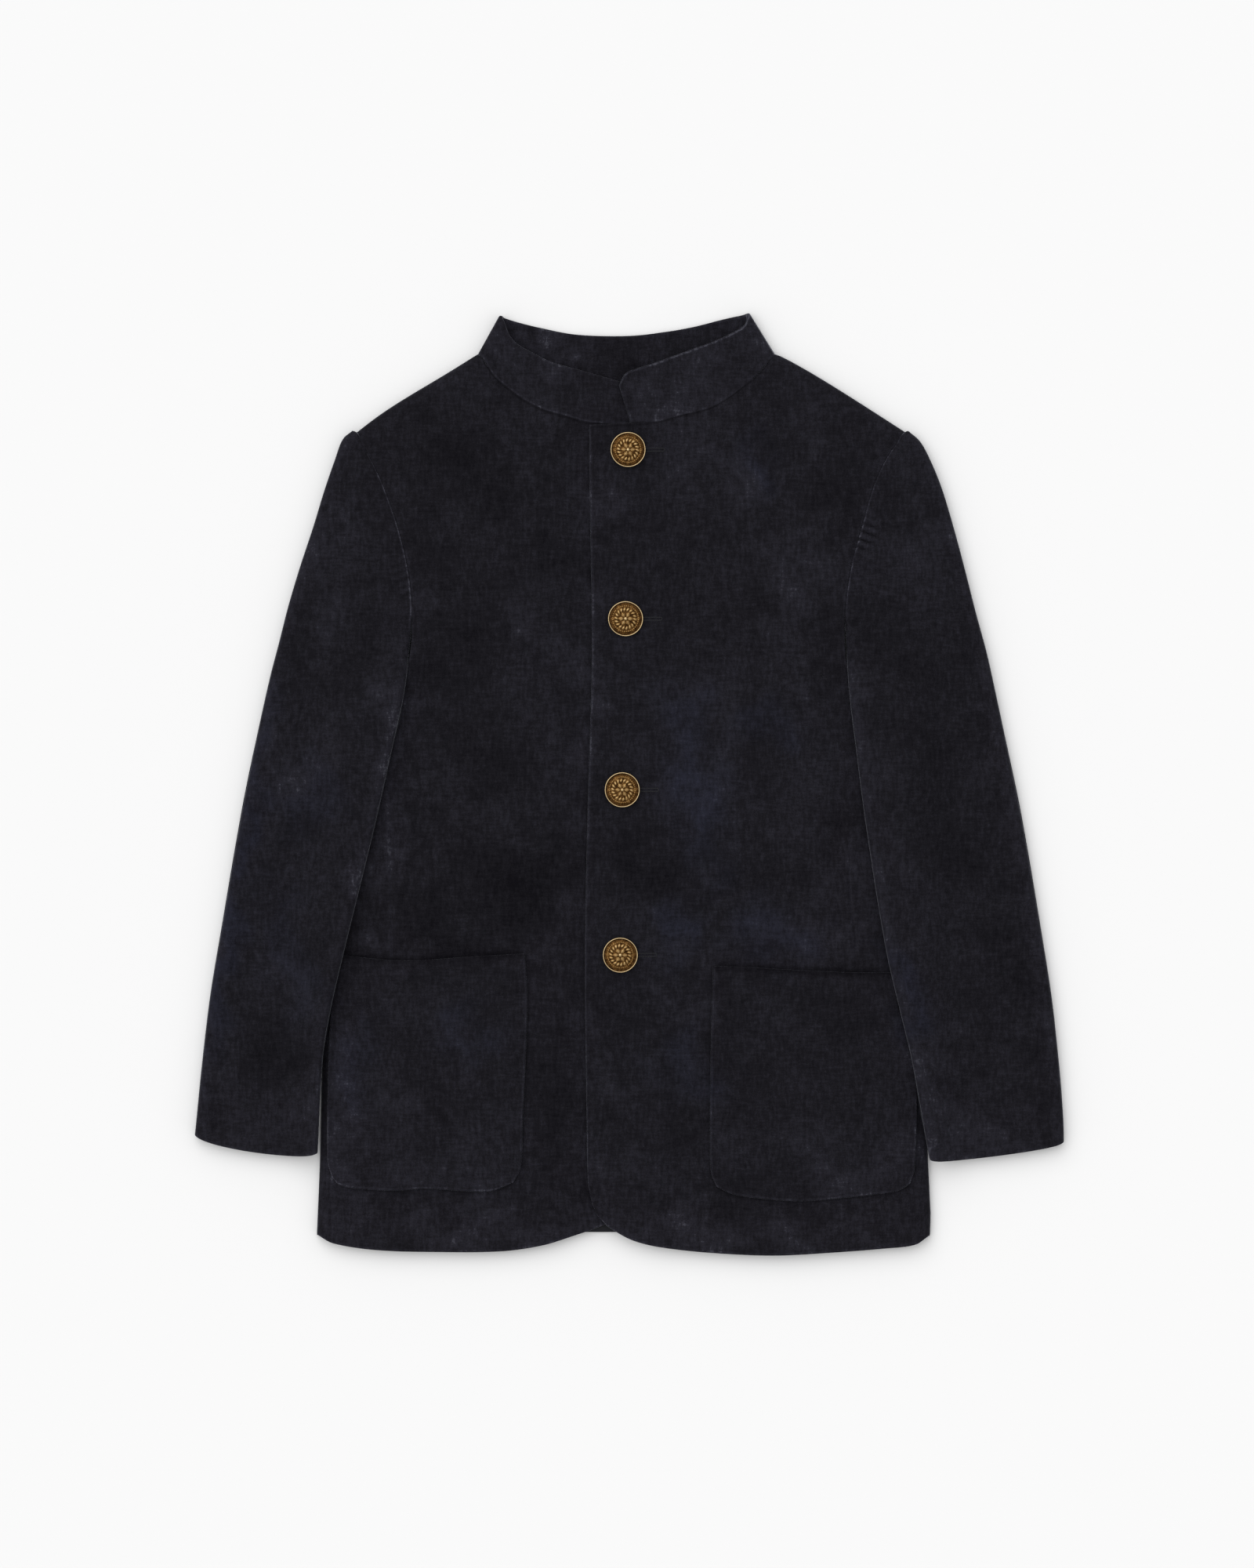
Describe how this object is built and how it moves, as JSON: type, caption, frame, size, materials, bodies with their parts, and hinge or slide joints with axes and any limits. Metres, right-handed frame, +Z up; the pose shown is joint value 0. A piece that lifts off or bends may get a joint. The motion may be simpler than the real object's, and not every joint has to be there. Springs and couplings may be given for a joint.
{
  "type": "velvet blazer",
  "caption": "Child's long-sleeved velvet blazer with a standing band collar, rounded front hems, patch pockets and metal buttons, buttoned and laid flat on its back.",
  "frame": {"origin": "centre of the bounding box in plan, on the table the blazer lies on", "axes": "+X to the right of a viewer who looks down at the front (the wearer's left), +Y from the hem to the collar, +Z up from the table, out of the front"},
  "size_m": [0.4926, 0.5324, 0.0202],
  "materials": {
    "velvet": "cotton velvet pile, almost black with a blue cast, dark woven lining inside",
    "button_metal": null
  },
  "bodies": {
    "root": {"back": "velvet", "front_right": "velvet", "front_left": "velvet", "collar": "velvet", "sleeve_right_top": "velvet", "sleeve_right_under": "velvet", "sleeve_left_top": "velvet", "sleeve_left_under": "velvet", "pocket_right": "velvet", "pocket_left": "velvet", "button_1": "button_metal", "button_2": "button_metal", "button_3": "button_metal", "button_4": "button_metal"}
  },
  "joints": []
}
